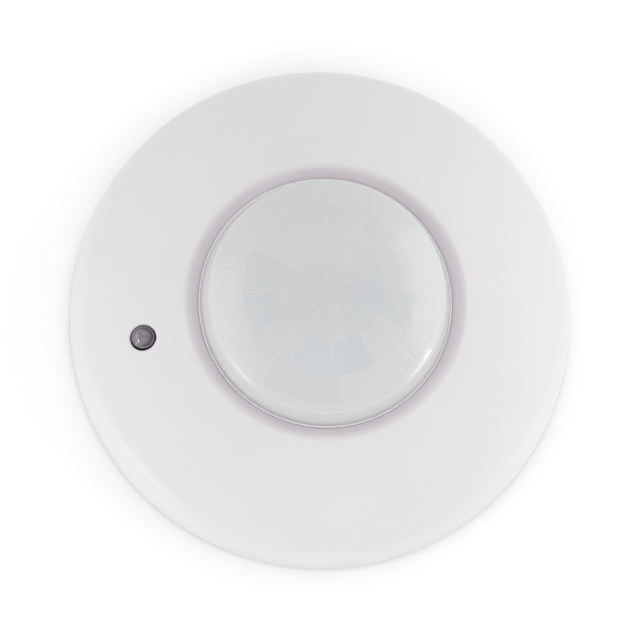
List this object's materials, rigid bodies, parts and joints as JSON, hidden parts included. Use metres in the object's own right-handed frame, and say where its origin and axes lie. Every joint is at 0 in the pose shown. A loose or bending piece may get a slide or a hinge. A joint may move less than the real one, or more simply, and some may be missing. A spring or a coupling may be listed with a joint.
{
  "type": "ceiling motion sensor",
  "caption": "Round ceiling occupancy sensor: white saucer cover around a faceted dome lens, with a small smoked window, over a circuit board on a back plate.",
  "frame": {"origin": "centre of the back plate's rear face, the face that meets the ceiling; the sensor lies on its back", "axes": "+Z along the lens axis, away from the ceiling into the room; the smoked window is on -X; the two screw slots are on +Y and -Y"},
  "size_m": [0.1142, 0.1142, 0.0396],
  "materials": {
    "cover_plastic": "satin white ABS moulding with a fine moulded texture",
    "lens_plastic": "milky translucent polyethylene, smooth outside, Fresnel grooves",
    "window_plastic": "smoked, polished acrylic",
    "plate_plastic": "plain white ABS moulding",
    "ring_plastic": "plain white ABS moulding",
    "board_laminate": "green solder resist on glass-epoxy laminate",
    "zinc_steel": "zinc-plated steel",
    "detector_metal": "drawn nickel-plated can",
    "detector_filter": "dark coated infra-red filter",
    "lead_metal": "gold-plated leads",
    "black_plastic": "black moulded plastic",
    "terminal_plastic": "green moulded polyamide",
    "relay_plastic": "off-white relay case",
    "capacitor_sleeve": "dark blue shrink sleeve on aluminium",
    "chip_epoxy": "black moulded epoxy",
    "chip_ceramic": "glazed ceramic chip",
    "led_epoxy": "clear red epoxy",
    "trimmer_plastic": "blue moulded plastic",
    "rotor_plastic": "white moulded plastic",
    "dip_plastic": "red moulded plastic"
  },
  "bodies": {
    "base": {"ambient_light_sensor": "detector_filter", "amplifier_chip": "chip_epoxy", "back_plate": "plate_plastic", "board_screw_1": "zinc_steel", "board_screw_2": "zinc_steel", "board_screw_3": "zinc_steel", "board_screw_4": "zinc_steel", "chip_resistor_1": "chip_ceramic", "chip_resistor_2": "chip_ceramic", "chip_resistor_3": "chip_ceramic", "chip_resistor_4": "chip_ceramic", "clock_crystal": "detector_metal", "detector_can": "detector_metal", "detector_filter_window": "detector_filter", "detector_lead_1": "lead_metal", "detector_lead_2": "lead_metal", "detector_lead_3": "lead_metal", "detector_spacer": "black_plastic", "dip_switch_body": "dip_plastic", "filter_capacitor": "capacitor_sleeve", "light_level_trimmer_body": "trimmer_plastic", "main_board": "board_laminate", "microcontroller": "chip_epoxy", "relay": "relay_plastic", "sensitivity_trimmer_body": "trimmer_plastic", "status_led": "led_epoxy", "supply_capacitor": "capacitor_sleeve", "terminal_block": "terminal_plastic", "terminal_screw_1": "zinc_steel", "terminal_screw_2": "zinc_steel", "terminal_screw_3": "zinc_steel", "test_button_body": "black_plastic", "time_trimmer_body": "trimmer_plastic", "voltage_regulator": "chip_epoxy", "wire_clamp_1": "zinc_steel", "wire_clamp_2": "zinc_steel", "wire_clamp_3": "zinc_steel"},
    "lens_carrier": {"fresnel_lens": "lens_plastic"},
    "cover": {"front_cover": "cover_plastic", "smoked_window": "window_plastic", "lens_retaining_ring": "ring_plastic", "ring_screw_1": "zinc_steel", "ring_screw_2": "zinc_steel", "ring_screw_3": "zinc_steel"},
    "time_rotor": {"time_trimmer_rotor": "rotor_plastic"},
    "sensitivity_rotor": {"sensitivity_trimmer_rotor": "rotor_plastic"},
    "light_level_rotor": {"light_level_trimmer_rotor": "rotor_plastic"},
    "dip_1": {"dip_slider_1": "rotor_plastic"},
    "dip_2": {"dip_slider_2": "rotor_plastic"},
    "dip_3": {"dip_slider_3": "rotor_plastic"},
    "dip_4": {"dip_slider_4": "rotor_plastic"},
    "button": {"test_button": "rotor_plastic"}
  },
  "joints": [
    {"name": "cover_lift", "type": "slide", "parent": "base", "child": "lens_carrier", "axis": [0, 0, 1], "range_m": [0, 0.04]},
    {"name": "cover_twist", "type": "hinge", "parent": "lens_carrier", "child": "cover", "pos_m": [0, 0, 0.0205], "axis": [0, 0, 1], "range_deg": [-20, 0]},
    {"name": "time_adjust", "type": "hinge", "parent": "base", "child": "time_rotor", "pos_m": [-0.02854, -0.02569, 0.0132], "axis": [0, 0, 1], "range_deg": [-135, 135]},
    {"name": "sensitivity_adjust", "type": "hinge", "parent": "base", "child": "sensitivity_rotor", "pos_m": [-0.0223, -0.03126, 0.0132], "axis": [0, 0, 1], "range_deg": [-135, 135]},
    {"name": "light_level_adjust", "type": "hinge", "parent": "base", "child": "light_level_rotor", "pos_m": [-0.015, -0.03535, 0.0132], "axis": [0, 0, 1], "range_deg": [-135, 135]},
    {"name": "dip_1_slide", "type": "slide", "parent": "base", "child": "dip_1", "axis": [0.4067, -0.9135, 0], "range_m": [0, 0.0016]},
    {"name": "dip_2_slide", "type": "slide", "parent": "base", "child": "dip_2", "axis": [0.4067, -0.9135, 0], "range_m": [0, 0.0016]},
    {"name": "dip_3_slide", "type": "slide", "parent": "base", "child": "dip_3", "axis": [0.4067, -0.9135, 0], "range_m": [0, 0.0016]},
    {"name": "dip_4_slide", "type": "slide", "parent": "base", "child": "dip_4", "axis": [0.4067, -0.9135, 0], "range_m": [0, 0.0016]},
    {"name": "test_press", "type": "slide", "parent": "base", "child": "button", "axis": [0, 0, -1], "range_m": [0, 0.0003], "stiffness_N_per_m": 400}
  ]
}
